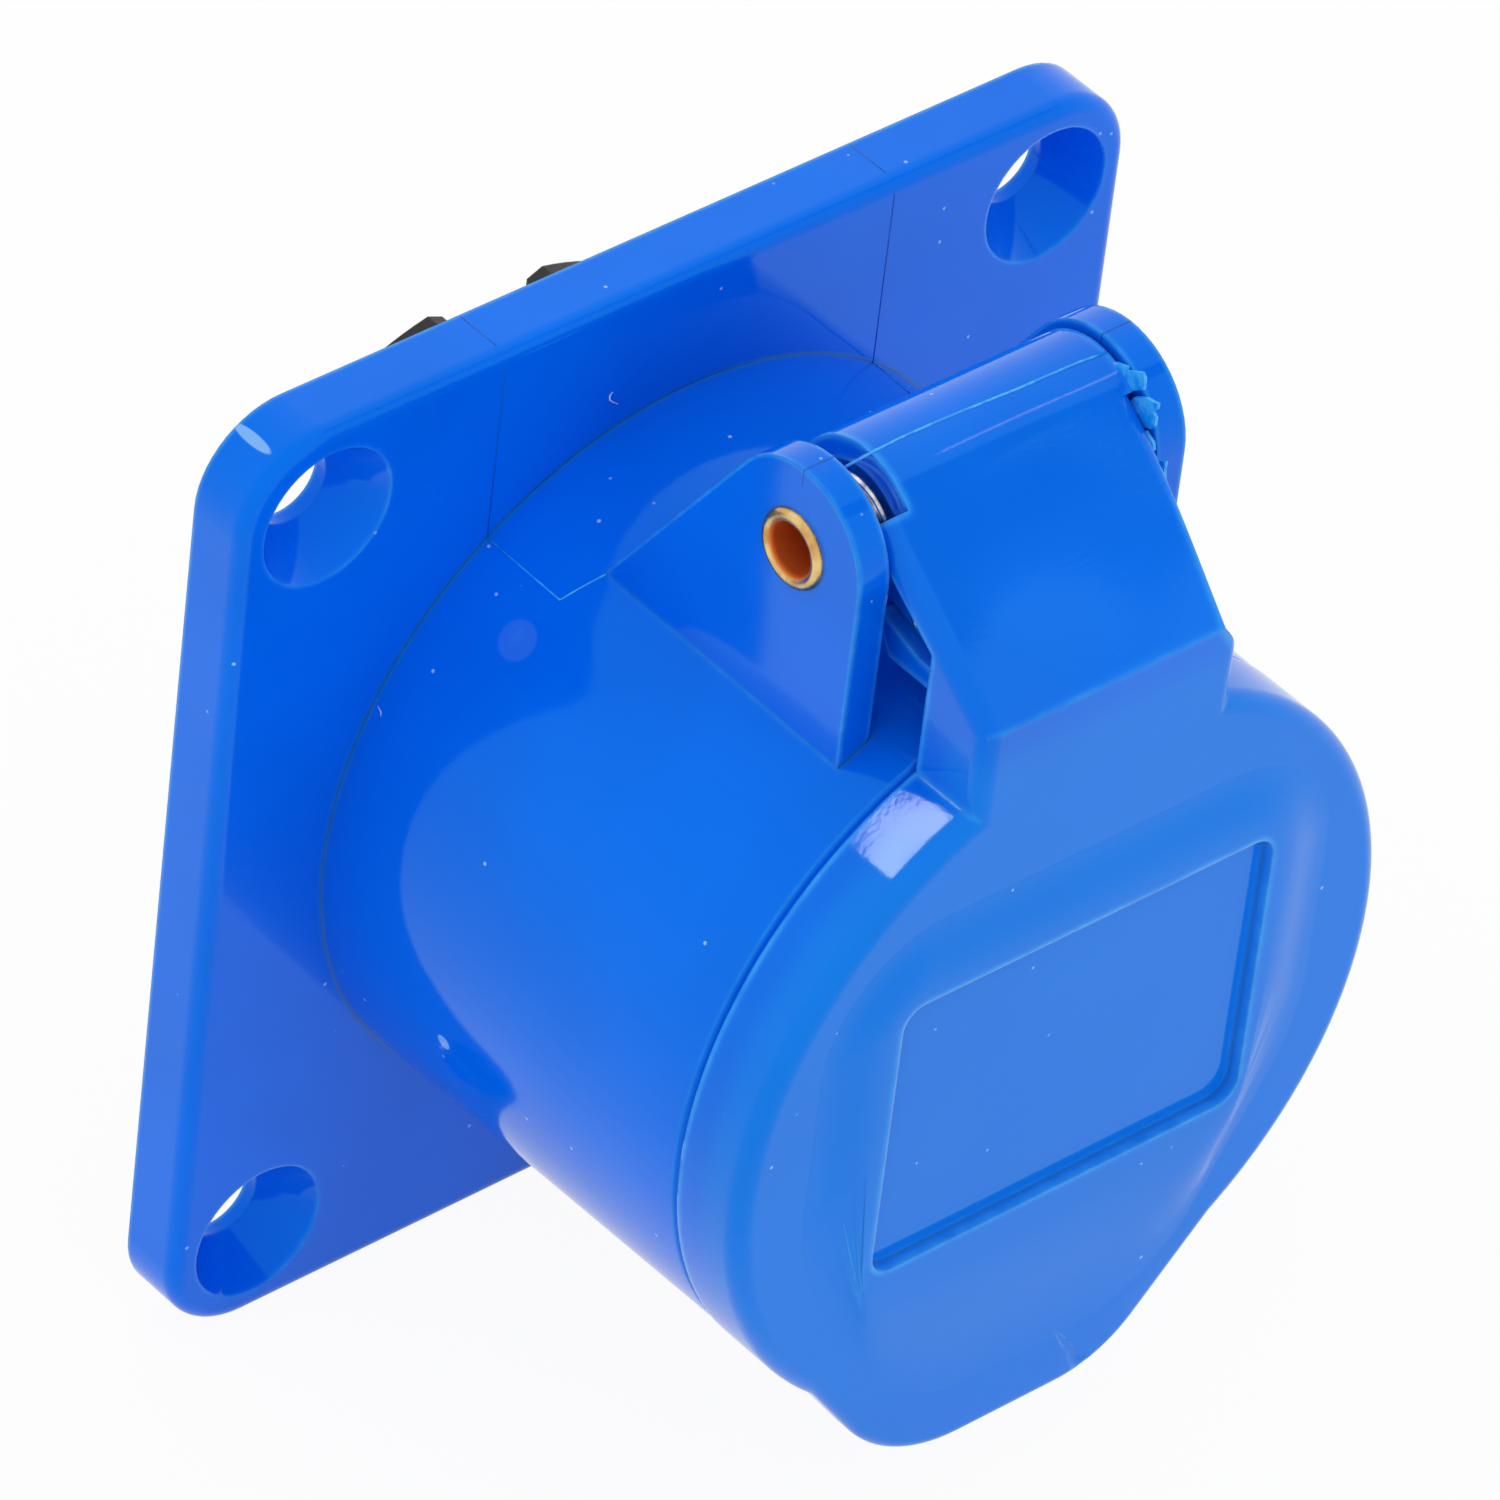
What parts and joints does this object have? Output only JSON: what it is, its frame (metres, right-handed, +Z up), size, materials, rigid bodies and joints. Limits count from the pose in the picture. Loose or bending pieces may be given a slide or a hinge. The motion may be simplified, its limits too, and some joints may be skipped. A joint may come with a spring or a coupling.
{
  "type": "industrial panel socket",
  "caption": "Square-flange industrial panel socket, three pole, round barrel with a spring-closed hinged lid and screw terminals at the back.",
  "frame": {"origin": "centre of the flange's back face, on the barrel's axis", "axes": "+X to the right seen from the front, +Y into the panel along the barrel's axis, +Z up towards the lid's hinge"},
  "size_m": [0.07, 0.0583, 0.0758],
  "materials": {
    "blue_plastic": "gloss",
    "black_plastic": "satin",
    "rubber": "matte",
    "brass": "satin",
    "steel": "satin"
  },
  "bodies": {
    "socket": {"housing": "blue_plastic", "hinge_rivet": "brass", "hinge_spring": "steel", "contact_carrier": "black_plastic", "terminal_block": "black_plastic", "line_sleeve": "brass", "neutral_sleeve": "brass", "earth_sleeve": "brass", "line_clip": "steel", "neutral_clip": "steel", "earth_clip": "steel", "centre_screw": "steel"},
    "lid": {"lid": "blue_plastic", "lid_gasket": "rubber"},
    "line_screw": {"line_screw": "steel"},
    "neutral_screw": {"neutral_screw": "steel"},
    "earth_screw": {"earth_screw": "steel"}
  },
  "joints": [
    {"name": "lid_hinge", "type": "hinge", "parent": "socket", "child": "lid", "pos_m": [0, -0.0279, 0.0349], "axis": [-1, 0, 0], "range_deg": [0, 110], "stiffness_Nm_per_rad": 0.03, "springref_deg": -57.3, "deforming": ["hinge_spring"]},
    {"name": "line_screw_travel", "type": "slide", "parent": "socket", "child": "line_screw", "axis": [0, 0, 1], "range_m": [0, 0.0035]},
    {"name": "neutral_screw_travel", "type": "slide", "parent": "socket", "child": "neutral_screw", "axis": [0, 0, 1], "range_m": [0, 0.0035]},
    {"name": "earth_screw_travel", "type": "slide", "parent": "socket", "child": "earth_screw", "axis": [0, 0, -1], "range_m": [0, 0.0035]}
  ]
}
